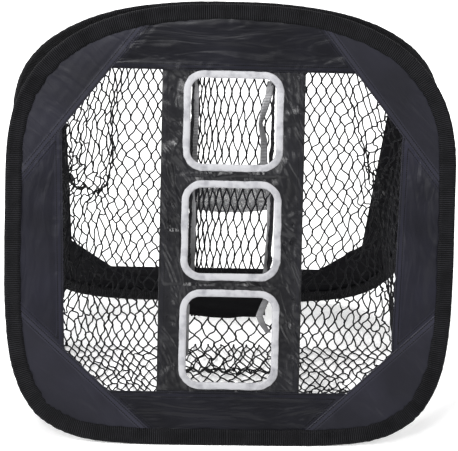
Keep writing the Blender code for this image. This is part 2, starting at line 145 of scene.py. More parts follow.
def panel_matrix(side):
    """From a panel lying flat, X across, Y up from the hinge and Z out of the tent."""
    turned = Matrix.Rotation(0 if side == "front" else math.pi, 4, "Z")
    lean = Matrix.Rotation(math.pi / 2 - LEAN, 4, "X")
    return Matrix.Translation((0, 0, HINGE_HEIGHT)) @ turned @ lean


def laid_grid(across, down, place, size):
    """A grid of cells with each corner put in its place, and a UV map in metres."""
    shape = bmesh.new()
    laid = shape.loops.layers.uv.new("laid")
    bmesh.ops.create_grid(
        shape, x_segments=across, y_segments=down, size=0.5, calc_uvs=True
    )
    for face in shape.faces:
        for loop in face.loops:
            u, v = loop[laid].uv
            loop[laid].uv = (u * size[0], v * size[1])
    for vert in shape.verts:
        vert.co = place(vert.co.x + 0.5, vert.co.y + 0.5)
    return shape


def piece(name, shape, material, nodes, body, wall=0.0, matrix=None):
    """Makes the object, gives cloth its thickness and hangs it on its body."""
    mesh = bpy.data.meshes.new(name)
    shape.normal_update()
    shape.to_mesh(mesh)
    shape.free()
    if matrix is not None:
        mesh.transform(matrix)
    mesh.shade_smooth()
    obj = bpy.data.objects.new(name, mesh)
    scene.collection.objects.link(obj)
    mesh.materials.append(material)
    if wall:
        thick = obj.modifiers.new("wall", "SOLIDIFY")
        thick.thickness = wall
        thick.offset = 0
    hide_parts(*nodes)
    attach(obj, body)
    return obj


def new_finish(name, colour, roughness, sheen=0.0):
    """A Principled material, with its node tree and shader for the texture to be added."""
    finish = bpy.data.materials.new(name)
    finish.use_nodes = True
    tree = finish.node_tree
    shader = tree.nodes["Principled BSDF"]
    shader.inputs["Base Color"].default_value = (*colour, 1)
    shader.inputs["Roughness"].default_value = roughness
    shader.inputs["Sheen Weight"].default_value = sheen
    return finish, tree, shader


def dress(names, finish):
    """Gives a finish to pieces that keep the frame's own shape."""
    for name in names:
        given = bpy.data.objects[name].data.materials
        given.clear()
        given.append(finish)


def node(tree, kind, settings=(), sockets=()):
    """A node with its settings made and its sockets set or linked."""
    made = tree.nodes.new(kind)
    for key, value in dict(settings).items():
        setattr(made, key, value)
    for key, value in dict(sockets).items():
        if isinstance(value, bpy.types.NodeSocket):
            tree.links.new(value, made.inputs[key])
        else:
            made.inputs[key].default_value = value
    return made


def colours(tree, factor, dark, light, low=0.3, high=0.7):
    """A ramp from a dark to a light colour."""
    ramp = node(tree, "ShaderNodeValToRGB", sockets={"Fac": factor})
    ramp.color_ramp.elements[0].position = low
    ramp.color_ramp.elements[0].color = (*dark, 1)
    ramp.color_ramp.elements[1].position = high
    ramp.color_ramp.elements[1].color = (*light, 1)
    return ramp.outputs["Color"]


def uv_place(tree, uv_map="laid"):
    return node(tree, "ShaderNodeUVMap", {"uv_map": uv_map}).outputs["UV"]


def solid_place(tree):
    return node(tree, "ShaderNodeTexCoord").outputs["Object"]


def cloud(tree, at, scale, detail, distortion=0.0):
    """Soft uneven noise."""
    look = {"Vector": at, "Scale": scale, "Detail": detail, "Distortion": distortion}
    return node(tree, "ShaderNodeTexNoise", sockets=look).outputs["Fac"]


def waves(tree, at, pitch, way="X", distortion=0.0, detail=2.0):
    """Even ribs across X or Y, one to each pitch."""
    look = {"Vector": at, "Scale": 2 * math.pi / (20 * pitch)}
    look.update({"Distortion": distortion, "Detail": detail})
    return node(tree, "ShaderNodeTexWave", {"bands_direction": way}, look).outputs["Fac"]


def tint(tree, shader, *ramp):
    tree.links.new(colours(tree, *ramp), shader.inputs["Base Color"])


def relief(tree, height, strength, distance, over=None, sunk=False):
    """A bump in the surface, on top of another one if there is one."""
    look = {"Height": height, "Strength": strength, "Distance": distance}
    if over is not None:
        look["Normal"] = over
    return node(tree, "ShaderNodeBump", {"invert": sunk}, look).outputs["Normal"]


def ribbed_tape(name, dark, light, roughness, rib, depth, gloss=0.22):
    """Narrow woven tape: ribs across its length, painted lighter on their crests as a highlight
    and darker in the grooves, and a slight random unevenness of colour along it.
    """
    finish, tree, shader = new_finish(name, light, roughness)
    shader.inputs["Specular IOR Level"].default_value = gloss
    laid = uv_place(tree)
    ribs = waves(tree, laid, rib, distortion=0.6, detail=1.0)
    uneven = cloud(tree, laid, 45, 3)
    # Painted highlight: the colour follows the ribs, light on each crest and dark in each groove,
    # times a random unevenness.
    rib_highlight_and_unevenness = node(tree, "ShaderNodeMath", {"operation": "MULTIPLY"}, {0: ribs, 1: uneven})
    tint(tree, shader, rib_highlight_and_unevenness.outputs[0], dark, light, 0.05, 0.55)
    tree.links.new(relief(tree, ribs, 0.9, depth), shader.inputs["Normal"])
    return finish


edge_tape = ribbed_tape(
    "black ribbed binding", (0.0004, 0.0004, 0.0006), (0.012, 0.012, 0.014),
    roughness=0.55, rib=0.0029, depth=0.0012, gloss=0.07,
)


def folded_round(reach, edge, leg):
    """The tape's section from hem to hem: inwards from the hoop's line, and out of the panel."""
    front = [(reach, leg), (reach * 0.72, leg + 0.0001), (reach * 0.45, leg + 0.0002)]
    front += [(edge * 1.7, leg + 0.0005), (edge * 0.9, edge * 0.80)]
    angles = np.linspace(-0.25, math.pi + 0.25, 9)
    turn = [(-edge * math.sin(a), edge * math.cos(a)) for a in angles]
    return front + turn + [(d, -h) for d, h in front[::-1]]


def bind(side):
    steps = 1100
    line, inward, length = edge_line(HOOP_INSET, steps)
    bend = np.linalg.norm(np.roll(inward, -6, axis=0) - inward, axis=1)
    tight = np.clip(bend / bend.max(), 0, 1)
    section = folded_round(TAPE_REACH, TAPE_EDGE, TAPE_LEG)
    seed = 3.0 if side == "front" else 41.0

    def place(u, v):
        i = round(u * steps) % steps
        inwards, out = section[round(v * (len(section) - 1))]
        here = Vector((line[i][0] * 28, line[i][1] * 28, seed))
        leg = min(max(inwards / TAPE_REACH, 0.0), 1.0)
        face = 1 if out >= 0 else -1
        ripple = noise.noise(here * 5.0 + Vector((0, 0, face))) * (0.45 + 2.3 * tight[i])
        waver = noise.noise(here * 2.1 + Vector((5, 0, face)))
        pull = noise.noise(here * 0.6)
        inwards += leg * (0.0016 * waver + 0.0014 * tight[i] * ripple)
        out += face * leg * (0.0006 * max(ripple, -0.8) + 0.0003 * waver)
        inwards += (1 - leg) * 0.00045 * (ripple + pull)
        x, y = line[i] + inwards * inward[i]
        return Vector((x, y, MIDDLE + out))

    shape = laid_grid(steps, len(section) - 1, place, (length, 0.050))
    bmesh.ops.remove_doubles(shape, verts=shape.verts, dist=0.00001)
    bmesh.ops.recalc_face_normals(shape, faces=shape.faces)
    obj = piece(
        side + "_edge_tape",
        shape,
        edge_tape,
        [side + "_binding"],
        side + "_panel",
        CLOTH_WALL,
        panel_matrix(side),
    )
    for vert in obj.data.vertices:       # pressed flat where it stands
        vert.co.z = max(vert.co.z, 0.0004)


bind("front")
bind("rear")


# ---- spring hoops and ferrules ----
# Each hoop is 3 mm drawn spring wire bent into one turn. Its ends meet at the foot in a
# crimped steel ferrule, and the hoop runs loose inside the folded binding.
spring_wire, tree, shader = new_finish("drawn spring wire", (0.45, 0.46, 0.48), 0.32)
shader.inputs["Metallic"].default_value = 1.0
rough = node(
    tree,
    "ShaderNodeMapRange",
    sockets={"Value": cloud(tree, solid_place(tree), 900, 2), "To Min": 0.22, "To Max": 0.42},
)
tree.links.new(rough.outputs["Result"], shader.inputs["Roughness"])
dress(("front_hoop", "front_hoop_ferrule", "rear_hoop", "rear_hoop_ferrule"), spring_wire)


# ---- cloth bands and corner patches ----
# Each panel has four bands of black nylon round its window, hemmed on the window side,
# and four corner patches joined to them by straight seams sewn twice. The hoop draws the
# cloth tight, so it creases lengthwise and pulls at every seam. The rear cloth is matt, and
# it is painted darker than the front's as shade, for it lies in shadow behind the front panel.
HEM = 0.0105                   # how far the cloth is doubled in from a seam or hem
STITCH_ROWS = (0.0022, 0.0082)
THREAD_PITCH = 0.0007          # of the weave


def sewn_nylon(name, dark, light, roughness, crease, spread, gloss, slant):
    """Black nylon: a fine weave, crumpled creases, two rows of stitches at each edge, and a
    painted highlight along each hem.
    """
    finish, tree, shader = new_finish(name, light, roughness, 0.03)
    shader.inputs["Specular IOR Level"].default_value = gloss
    laid = uv_place(tree)
    parts_of = node(tree, "ShaderNodeSeparateXYZ", sockets={0: uv_place(tree, "sewing")})
    along, away = parts_of.outputs["X"], parts_of.outputs["Y"]

    def count(operation, first, second=0.0, third=0.0):
        return node(
            tree, "ShaderNodeMath", {"operation": operation}, {0: first, 1: second, 2: third}
        ).outputs[0]

    rows = None
    for far in STITCH_ROWS:
        row = count("COMPARE", away, far, 0.00075)
        rows = row if rows is None else count("ADD", rows, row)
    dash = count("GREATER_THAN", count("FRACT", count("DIVIDE", along, 0.0032)), 0.30)
    stitch = count("MULTIPLY", rows, dash)

    cloth_colour = colours(tree, cloud(tree, laid, 9, 4), dark, light, 0.35, 0.68)
    # Painted highlight: within each hem, where the cloth lies doubled, the colour is made a little
    # lighter for the light its fold catches.
    cloth_with_hem_highlight = node(
        tree,
        "ShaderNodeMix",
        {"data_type": "RGBA", "blend_type": "ADD"},
        {"Factor": count("LESS_THAN", away, HEM), "A": cloth_colour, "B": (*dark, 1)},
    ).outputs["Result"]
    threads = node(
        tree,
        "ShaderNodeMix",
        {"data_type": "RGBA"},
        {"Factor": stitch, "A": cloth_with_hem_highlight, "B": (0.0005, 0.0005, 0.0008, 1)},
    )
    tree.links.new(threads.outputs["Result"], shader.inputs["Base Color"])

    warp, weft = (waves(tree, laid, THREAD_PITCH, way) for way in "XY")
    weave = count("MULTIPLY", warp, weft)
    crumple = node(
        tree,
        "ShaderNodeTexNoise",
        {"noise_type": "RIDGED_MULTIFRACTAL", "normalize": False},
        {
            "Vector": laid,
            "Scale": spread,
            "Detail": 3.5,
            "Roughness": 0.6,
            "Distortion": 0.9,
        },
    ).outputs["Fac"]
    turned = node(
        tree,
        "ShaderNodeMapping",
        {"vector_type": "TEXTURE"},
        {"Vector": laid, "Rotation": (0, 0, slant), "Scale": (0.030, 0.120, 1)},
    ).outputs["Vector"]
    streaks = cloud(tree, turned, 1, 2, 1.4)
    crumple = count("MULTIPLY_ADD", streaks, 2.4, crumple)
    fine = relief(tree, weave, 0.35, 0.0001)
    creased = relief(tree, crumple, 0.8, crease, fine)
    sewn = relief(tree, rows, 1.0, 0.0011, creased, sunk=True)
    tree.links.new(sewn, shader.inputs["Normal"])
    return finish


band_nylon = sewn_nylon(
    "black nylon bands", (0.0020, 0.0020, 0.0034), (0.0068, 0.0068, 0.0104),
    roughness=0.40, crease=0.0030, spread=12, gloss=0.14, slant=1.57,
)
# Painted shade: the rear panel is the same cloth as the front, given darker colours because it
# lies in shadow.
rear_shaded_nylon = sewn_nylon(
    "matt black nylon in painted shade", (0.0010, 0.0010, 0.0016), (0.0034, 0.0034, 0.0050),
    roughness=0.60, crease=0.0012, spread=12, gloss=0.04, slant=1.57,
)
side_nylon = sewn_nylon(
    "black nylon side bands", (0.0030, 0.0030, 0.0054), (0.0100, 0.0098, 0.0165),
    roughness=0.42, crease=0.0022, spread=12, gloss=0.17, slant=0.0,
)
patch_nylon = sewn_nylon(
    "black nylon patches", (0.0056, 0.0056, 0.0088), (0.0120, 0.0118, 0.0185),
    roughness=0.45, crease=0.0016, spread=9, gloss=0.17, slant=0.8,
)

OPENING_TOP = 0.0935           # below the top edge, as the other heights here
OPENING_FOOT = 0.546
SIDE_TOP = (0.240, 0.187)      # the window's corners at the side: across, and down
SIDE_FOOT = (0.232, 0.470)
SEAM_TOP = ((0.1335, 0.044), (0.295, 0.249))
SEAM_FOOT = ((0.112, 0.598), (0.293, 0.432))
UNDER_PATCH = 0.004            # how far a band runs on under each patch
PATCH_LIFT = 0.0007            # how far a patch lies above the bands


def facing(start, end, keep):
    """A line's start, unit direction, and unit normal that points to the side of keep."""
    start, end = Vector((start[0], -start[1])), Vector((end[0], -end[1]))
    ahead = (end - start).normalized()
    left = Vector((-ahead.y, ahead.x))
    if (Vector((keep[0], -keep[1])) - start).dot(left) < 0:
        left = -left
    return start, ahead, left


def cut_cloth(corner_a, corner_b, lines, cell):
    """A fine flat grid cut along each sewn line, and along the curve inside the binding."""
    (xa, da), (xb, db) = corner_a, corner_b
    wide, tall = xb - xa, db - da
    shape = laid_grid(
        round(wide / cell),
        round(tall / cell),
        lambda u, v: Vector((xa + wide * u, -db + tall * v, MIDDLE)),
        (wide, tall),
    )
    rim, inward, _ = edge_line(HOOP_INSET + 0.0045, 60)
    cuts = [(Vector((*a, 0)), -Vector((*n, 0))) for a, n in zip(rim, inward)]
    cuts += [(Vector((*a, 0)), -Vector((*n, 0))) for a, _, n in lines]
    ends = [Vector((x, -d, 0)) for x in (xa, xb) for d in (da, db)]
    for place, out_of in cuts:
        if max((end - place).dot(out_of) for end in ends) <= 0:
            continue
        bmesh.ops.bisect_plane(
            shape,
            geom=shape.verts[:] + shape.edges[:] + shape.faces[:],
            plane_co=place,
            plane_no=out_of,
            clear_outer=True,
        )
    sewing = shape.loops.layers.uv.new("sewing")
    for face in shape.faces:
        for loop in face.loops:
            at = loop.vert.co.xy
            found = [((at - a).dot(n), (at - a).dot(t)) for a, t, n in lines]
            away, run = min(found)
            loop[sewing].uv = (run, away)
    return shape


def ridge(at, seed):
    """A sharp-edged crease: highest on the line where the noise passes through zero."""
    return 1 - 2.2 * abs(noise.noise(Vector((at[0], at[1], seed))))


def inside_edge(at):
    """About how far a place on the panel lies inside its outer edge."""
    low = at.y < -WIDEST_DOWN
    tall = PANEL_LENGTH - WIDEST_DOWN if low else WIDEST_DOWN
    power = ROUND_BELOW if low else ROUND_ABOVE
    share = (2 * abs(at.x) / PANEL_WIDTH) ** power + (abs(at.y + WIDEST_DOWN) / tall) ** power
    return 0.30 * (1 - share ** (1 / power))


def crease_cloth(shape, lines, heading, size, seed):
    """Long creases along the band, pulls at the seams, and the double layer of each hem."""
    ahead = Vector((math.cos(heading), math.sin(heading)))
    beside = Vector((-ahead.y, ahead.x))
    for vert in shape.verts:
        at = vert.co.xy
        run, wide = at.dot(ahead), at.dot(beside)
        sway = 0.012 * noise.noise(Vector((run * 9, wide * 9, seed)))
        long_fold = ridge((run * 5, (wide + sway) * 42), seed)
        short_fold = ridge((run * 16 + wide * 9, (wide - sway) * 60), seed + 7)
        low = noise.noise(Vector((run * 10, wide * 14, seed + 3)))
        away = min((at - a).dot(n) for a, _, n in lines)
        near = math.exp(-max(away, 0) / 0.016)
        pull = ridge((run * 90, wide * 90), seed + 11) * near
        flat = 0.10 + 0.90 * min(max(away - 0.003, 0) / 0.014, 1)
        height = size * flat * (0.9 * long_fold + 0.35 * short_fold + 1.4 * low)
        height += 0.30 * size * pull
        height *= min(max((inside_edge(at) - 0.018) / 0.016, 0.05), 1.0)
        layer = CLOTH_WALL * max(0.0, min(1.0, (HEM - away) / 0.0012))
        vert.co.z += height + layer


def mirrored(points):
    return tuple((-x, d) for x, d in points)


# Each corner's seam, a place outside it, and the box it is cut from.
CORNERS = {
    "top_right": (SEAM_TOP, (0.3, 0.0), ((0.10, 0.0), (0.32, 0.29))),
    "top_left": (mirrored(SEAM_TOP), (-0.3, 0.0), ((-0.32, 0.0), (-0.10, 0.29))),
    "foot_right": (SEAM_FOOT, (0.3, 0.62), ((0.08, 0.40), (0.32, 0.622))),
    "foot_left": (mirrored(SEAM_FOOT), (-0.3, 0.62), ((-0.32, 0.40), (-0.08, 0.622))),
}
# Each band's hem, a place outside it, the corners it joins, its box, and its cloth laid flat.
BANDS = {
    "top": (
        (((-0.3, OPENING_TOP), (0.3, OPENING_TOP)), (0, 0), ("top_left", "top_right")),
        ((-0.20, 0.0), (0.20, 0.095)),
        (band_nylon, (0.37, 0.085), 0.0228),
    ),
    "foot": (
        (((-0.3, OPENING_FOOT), (0.3, OPENING_FOOT)), (0, 0.62), ("foot_left", "foot_right")),
        ((-0.20, 0.54), (0.20, 0.622)),
        (band_nylon, (0.36, 0.075), 0.0184),
    ),
    "left": (
        (mirrored((SIDE_TOP, SIDE_FOOT)), (-0.32, 0.3), ("top_left", "foot_left")),
        ((-0.32, 0.14), (-0.22, 0.52)),
        (side_nylon, (0.090, 0.33), 0.0174),
    ),
    "right": (
        ((SIDE_TOP, SIDE_FOOT), (0.32, 0.3), ("top_right", "foot_right")),
        ((0.22, 0.14), (0.32, 0.52)),
        (side_nylon, (0.090, 0.33), 0.0174),
    ),
}


def sew_panel(side):
    cell = 0.0022 if side == "front" else 0.0032
    made = []
    for number, (where, (seam, outside, box)) in enumerate(CORNERS.items()):
        lines = [facing(*seam, outside)]
        shape = cut_cloth(*box, lines, cell)
        run = lines[0][1]
        crease_cloth(shape, lines, math.atan2(run.y, run.x), 0.00055, 5 * number + len(side))
        bmesh.ops.translate(shape, verts=shape.verts, vec=(0, 0, PATCH_LIFT))
        made.append(("corner_" + where, shape, patch_nylon, (0.24, 0.14), 0.0163))

    for number, (where, (sewn, box, cloth)) in enumerate(BANDS.items()):
        hem, outside, joined = sewn
        lines = [facing(*hem, outside)]
        for corner in joined:
            start, ahead, inner = facing(*CORNERS[corner][0], PANEL_MIDDLE)
            lines.append((start - UNDER_PATCH * inner, ahead, inner))
        shape = cut_cloth(*box, lines, cell)
        run = lines[0][1]
        crease_cloth(shape, lines, math.atan2(run.y, run.x), 0.0019, 31 + 5 * number + len(side))
        made.append(("band_" + where, shape, *cloth))

    for name, shape, finish, flat, area in made:
        obj = piece(
            f"{side}_cloth_{name}",
            shape,
            finish if side == "front" else rear_shaded_nylon,
            [f"{side}_{name}"],
            side + "_panel",
            CLOTH_WALL,
            panel_matrix(side),
        )


sew_panel("front")
sew_panel("rear")


# ---- hinge tape ----
# A folded strip of the same black tape joins the two bindings along the top, one half
# stitched to each, and it is the hinge that the panels fold on.
flap_tape, tree, shader = new_finish("black hinge tape", (0.012, 0.012, 0.014), 0.7, 0.15)
ribs = waves(tree, solid_place(tree), 0.0018)
tree.links.new(relief(tree, ribs, 0.8, 0.0003), shader.inputs["Normal"])
dress(("front_hinge_flap", "rear_hinge_flap"), flap_tape)


# ---- target strip ----
# One length of thin black nylon runs down the middle of the front window, sewn to the
# bands at its ends and hemmed at both sides. Three holes are cut in it, and the tape
# round each hole draws the cloth into creases that run out from its corners.
STRIP_HALF = 0.101
HOLE_DOWN = {"upper": 0.164, "middle": 0.318, "lower": 0.472}
HOLE_HALF = 0.0605
HOLE_CORNER = 0.019
STRIP_TOP = OPENING_TOP - 0.005        # its ends lie under the bands
STRIP_FOOT = OPENING_FOOT + 0.005
CUT_BACK = 0.0050              # the cloth ends this far outside a hole, in the rim's fold

strip_nylon = sewn_nylon(
    "crinkled black nylon", (0.0012, 0.0012, 0.0020), (0.0056, 0.0056, 0.0078),
    roughness=0.34, crease=0.0064, spread=8, gloss=0.30, slant=0.45,
)


def from_hole(x, down, hole_down):
    """How far a place on the strip lies outside a hole, less than nothing when within it."""
    qx = abs(x) - (HOLE_HALF - HOLE_CORNER)
    qy = abs(down - hole_down) - (HOLE_HALF - HOLE_CORNER)
    return math.hypot(max(qx, 0), max(qy, 0)) + min(max(qx, qy), 0) - HOLE_CORNER


strip_lines = [
    facing((-STRIP_HALF, 0), (-STRIP_HALF, 1), PANEL_MIDDLE),
    facing((STRIP_HALF, 0), (STRIP_HALF, 1), PANEL_MIDDLE),
    facing((-1, STRIP_TOP), (1, STRIP_TOP), PANEL_MIDDLE),
    facing((-1, STRIP_FOOT), (1, STRIP_FOOT), PANEL_MIDDLE),
]
strip = cut_cloth((-STRIP_HALF, STRIP_TOP), (STRIP_HALF, STRIP_FOOT), strip_lines, 0.0021)
cut_out = []
for face in strip.faces:
    at = face.calc_center_median()
    if min(from_hole(at.x, -at.y, down) for down in HOLE_DOWN.values()) < CUT_BACK:
        cut_out.append(face)
bmesh.ops.delete(strip, geom=cut_out, context="FACES")
for vert in strip.verts:
    x, down = vert.co.x, -vert.co.y
    away, hole = min((from_hole(x, down, d), d) for d in HOLE_DOWN.values())
    bearing = math.atan2(down - hole, x)
    fan = 1.7 * noise.noise(Vector((bearing * 3.4, away * 8, 2.0 + hole * 40)))
    fan += 0.8 * noise.noise(Vector((bearing * 8.5, away * 16, 5.0 + hole * 40)))
    sway = 0.02 * noise.noise(Vector((x * 14, down * 14, 1.0)))
    slant = 1.5 * noise.noise(Vector(((x + down * 0.45 + sway) * 30, (down - x * 0.45) * 9, 12.0)))
    crumple = noise.noise(Vector(((x + sway) * 60, (down - sway) * 34, 21.0)))
    low = noise.noise(Vector((x * 16, down * 12, 4.0)))
    near = math.exp(-max(away - 0.010, 0) / 0.030)
    edge = min(STRIP_HALF - abs(x), 0.012) / 0.012
    held = min(max((away - 0.0085) / 0.010, 0.0), 1.0)
    vert.co.z += held * (0.30 + 0.70 * edge) * (
        0.0034 * near * fan + 0.0028 * slant + 0.0010 * crumple + 0.0016 * low
    )
    vert.co.z += 0.0004 * held if STRIP_HALF - abs(x) < 0.0095 else 0
    end = min(down - OPENING_TOP, OPENING_FOOT - down)
    under = min(max((0.010 - end) / 0.010, 0.0), 1.0)
    vert.co.z += under * (MIDDLE - PATCH_LIFT - vert.co.z)
strip_cloth = piece(
    "target_cloth",
    strip,
    strip_nylon,
    ["target_strip"],
    "front_panel",
    CLOTH_WALL,
    panel_matrix("front"),
)


# ---- hole bindings ----
# Each hole is bound with white satin tape, folded over the cut edge and sewn through near
# its outer edge. It is turned round the corners without a mitre, so it bunches there.
RIM_WIDTH = 0.0100
white_tape, tree, shader = new_finish("white satin tape", (0.30, 0.30, 0.32), 0.55)
laid = uv_place(tree)
soil = cloud(tree, laid, 60, 4)
tint(tree, shader, soil, (0.16, 0.16, 0.175), (0.31, 0.31, 0.325), 0.28, 0.52)
satin = waves(tree, laid, 0.0012, distortion=1.5)
tree.links.new(relief(tree, satin, 0.6, 0.0002), shader.inputs["Normal"])


def hole_edge(steps):
    """The hole's rounded square about its own middle, with directions out of the hole."""
    flat_run, turn_run = 2 * (HOLE_HALF - HOLE_CORNER), HOLE_CORNER * math.pi / 2
    length = 4 * (flat_run + turn_run)
    points = []
    for k in range(steps):
        quarter, run = divmod(length * k / steps, length / 4)
        turned = quarter * math.pi / 2
        if run < turn_run:
            a = run / HOLE_CORNER
            core, out = Vector((flat_run / 2, flat_run / 2)), Vector((math.cos(a), math.sin(a)))
        else:
            core, out = Vector((flat_run / 2 - (run - turn_run), flat_run / 2)), Vector((0, 1))
        spin = Matrix.Rotation(turned, 2)
        points.append((spin @ (core + HOLE_CORNER * out), spin @ out, run < turn_run))
    return points, length


def bind_hole(name, down):
    steps = 300
    points, length = hole_edge(steps)
    section = [(RIM_WIDTH, 0.0012), (0.0085, 0.00165), (0.0055, 0.0019), (0.0028, 0.0018)]
    section += [(0.0009, 0.0013), (0.0000, 0.0005)]
    section += [(d, -h) for d, h in section[::-1]]

    def place(u, v):
        edge, out_of, corner = points[round(u * steps) % steps]
        wide, out = section[round(v * (len(section) - 1))]
        here = Vector((edge.x * 60, edge.y * 60, down * 50))
        loose = 1.0 if corner else 0.45
        wavy = noise.noise(here * 0.8)
        bunch = noise.noise(here * 3.4 + Vector((0, 0, 9)))
        wide += (wide / RIM_WIDTH) * (0.0009 * wavy + 0.0007 * loose * bunch)
        wide += 0.0005 * noise.noise(here * 0.5 + Vector((0, 0, 3)))
        swell = 1 + 0.35 * loose * bunch + 0.15 * wavy
        x, y = edge + wide * out_of
        return Vector((x, y - down, MIDDLE + out * swell))

    shape = laid_grid(steps, len(section) - 1, place, (length, 0.024))
    bmesh.ops.remove_doubles(shape, verts=shape.verts, dist=0.00001)
    bmesh.ops.recalc_face_normals(shape, faces=shape.faces)
    rim = piece(
        f"hole_tape_{name}",
        shape,
        white_tape,
        [f"target_rim_{name}"],
        "front_panel",
        0.0004,
        panel_matrix("front"),
    )


for name, down in HOLE_DOWN.items():
    bind_hole(name, down)


# ---- catch nets and floor nets ----
# Knotted black twine, in narrow diamonds about 12 by 33 mm. One net hangs from the
# window's hem on each side of the strip down to the ground, and its floor comes forward
# to the front hem. It is cut larger than the window, so it gathers at the outer side.
NET_SIDE = 0.088
NET_INNER = NET_SIDE + 0.0016
NET_OUTER = 0.240
FLOOR_LINE = 0.070
FOOT_IN = 0.006
FLARE = 0.034                  # how far the net's outer edge spreads at the ground
TIE = (0.230, 0.1225, 0.235)
TWINE = 0.00118                # the twine's radius
BEHIND_CLOTH = 0.0017
ON_GROUND = 0.0024             # height of twine that lies on the ground

twine_black, tree, shader = new_finish("black twine", (0.006, 0.006, 0.007), 0.70)
shader.inputs["Specular IOR Level"].default_value = 0.15
fibres = cloud(tree, solid_place(tree), 1500, 2)
tint(tree, shader, fibres, (0.002, 0.002, 0.003), (0.010, 0.010, 0.012))
tree.links.new(relief(tree, fibres, 0.7, 0.0003), shader.inputs["Normal"])


def behind_front(x, down, behind):
    """A place behind the front panel's middle plane, down from its top edge."""
    out = MIDDLE - behind
    y = -out * math.cos(LEAN) - down * math.sin(LEAN)
    return Vector((x, y, HINGE_HEIGHT + out * math.sin(LEAN) - down * math.cos(LEAN)))


def wander(at, fine, seed):
    """A smooth sideways drift of soft twine, alike for the strands that meet in a knot."""
    here = at * fine
    return Vector(
        (
            noise.noise(here + Vector((seed, 0, 0))),
            noise.noise(here + Vector((0, seed, 7))),
            noise.noise(here + Vector((5, 0, seed))),
        )
    )


def lay_threads(shape, lines, radius, roundness):
    """Adds round threads that follow lines of points."""
    curve = bpy.data.curves.new("strands", "CURVE")
    curve.dimensions = "3D"
    curve.bevel_depth = radius
    curve.bevel_resolution = roundness
    curve.use_fill_caps = True
    for line in lines:
        strand = curve.splines.new("POLY")
        strand.points.add(len(line) - 1)
        for end, point in zip(strand.points, line):
            end.co = (*point, 1)
    holder = bpy.data.objects.new("strands", curve)
    scene.collection.objects.link(holder)
    bpy.context.view_layer.update()
    evaluated = holder.evaluated_get(bpy.context.evaluated_depsgraph_get())
    tubes = bpy.data.meshes.new_from_object(evaluated)
    bpy.data.objects.remove(holder)
    bpy.data.curves.remove(curve)
    shape.from_mesh(tubes)
    bpy.data.meshes.remove(tubes)
    bmesh.ops.remove_doubles(shape, verts=shape.verts, dist=0.000001)


def all_of_it(u, v):
    return True


def evenly_loose(u, v):
    return 1.0


def knotted_net(
    surface, columns, rows, slack=0.005, kink=0.0030, seed=1.0, loose=evenly_loose, kept=all_of_it
):
    """Wavy strands side by side, each knotted to its neighbours where they touch."""
    per_row = 6
    strands, knots = [], []
    for column in range(columns):
        places = []
        for k in range(rows * per_row + 1):
            t = k / per_row
            swing = 0.5 - 0.5 * math.cos(math.pi * t)
            straight = abs((t + 1) % 2 - 1)
            swing = 0.65 * swing + 0.35 * straight
            if column % 2:
                swing = 1 - swing
            u, v = (column + swing) / columns, t / rows
            if not kept(u, v):
                continue
            point = surface(u, v)
            give = loose(u, v)
            drift = slack * give * min(1.0, 6 * v, 6 * (1 - v))
            between = math.sin(math.pi * (t % 1)) * kink * give
            shift = drift * (wander(point, 22, seed) + 0.55 * wander(point, 62, seed + 3))
            shift += between * wander(point, 55, seed + 11 + column * 1.7)
            point += shift
            places.append(point)
            if k % per_row == 0 and (column == 0 or swing < 0.5):
                knots.append(point)
        if len(places) > 1:
            strands.append(places)
    shape = bmesh.new()
    for at in knots:
        bmesh.ops.create_icosphere(
            shape,
            subdivisions=1,
            radius=TWINE * 1.45,
            matrix=Matrix.Translation(at) @ Matrix.Diagonal((1.15, 1.0, 1.3, 1)),
        )
    lay_threads(shape, strands, TWINE, 1)
    return shape


def front_hem_down(x):
    """How far down the window's top hem is at this place across."""
    return OPENING_TOP - 0.005 + 1.269 * max(0.0, abs(x) - 0.1725)


def foot_hem_down(x):
    """How far down the window's foot hem is at this place across."""
    return OPENING_FOOT + 0.004 - 0.917 * max(0.0, abs(x) - 0.1687)


def drawn_to(value, line, tightness, reach):
    """Moves a value towards a line; near the line the net lies in close folds."""
    far = value - line
    share = min(abs(far) / reach, 1.0)
    return line + far * (1 - tightness * (1 - share) ** 1.5)


def net_wall(sign, u, v, gather):
    """The hanging net behind a window, from the strip outwards and from the hem down."""
    share = u**0.82 if sign < 0 else u**0.95
    x = NET_INNER + (NET_OUTER - NET_INNER) * share
    top = behind_front(x, front_hem_down(x), BEHIND_CLOTH)
    low = Vector((x + FLARE * u, FLOOR_LINE - FOOT_IN * u, ON_GROUND))
    point = top.lerp(low, v)
    tie_share = (top.z - TIE[2]) / (top.z - low.z)
    pull = Vector(TIE) - top.lerp(low, tie_share)
    near = v / tie_share if v < tie_share else (1 - v) / (1 - tie_share)
    point += pull * u**2 * near**1.4
    point = gather(point, min(1.0, v / 0.09))
    point.x *= sign
    return point


def between_heights(z, low, high, soft):
    """1 between two heights, and falling off to 0 beyond them."""
    return max(0.0, min(1.0, (z - low) / soft, (high - z) / soft))


def gather_left(point, hold):
    """The left net hangs in a sheaf of folds that turns out to where it is tied."""
    x, z = point.x, point.z
    fold = np.interp(z, (0.26, 0.30, 0.34, 0.42, 0.49), (0.198, 0.178, 0.167, 0.168, 0.158))
    reach = hold * between_heights(z, 0.235, 0.52, 0.05)
    moved = drawn_to(x, fold, 0.86 * reach, 0.042)
    side = hold * max(0.0, min(1.0, (x - 0.165) / 0.03))
    tie_z = 0.284 - 0.10 * (x - 0.20)
    lifted = drawn_to(z, tie_z, 0.88 * side, 0.125)
    bunch_z = 0.056 + 0.22 * max(0.0, 0.17 - x)
    lifted = drawn_to(lifted, bunch_z, 0.72, 0.030)
    pleat = 0.006 * side * math.sin(x * 380 + z * 40)
    pleat += 0.012 * reach * math.exp(-(((x - fold) / 0.02) ** 2))
    return Vector((moved, point.y - pleat, lifted))


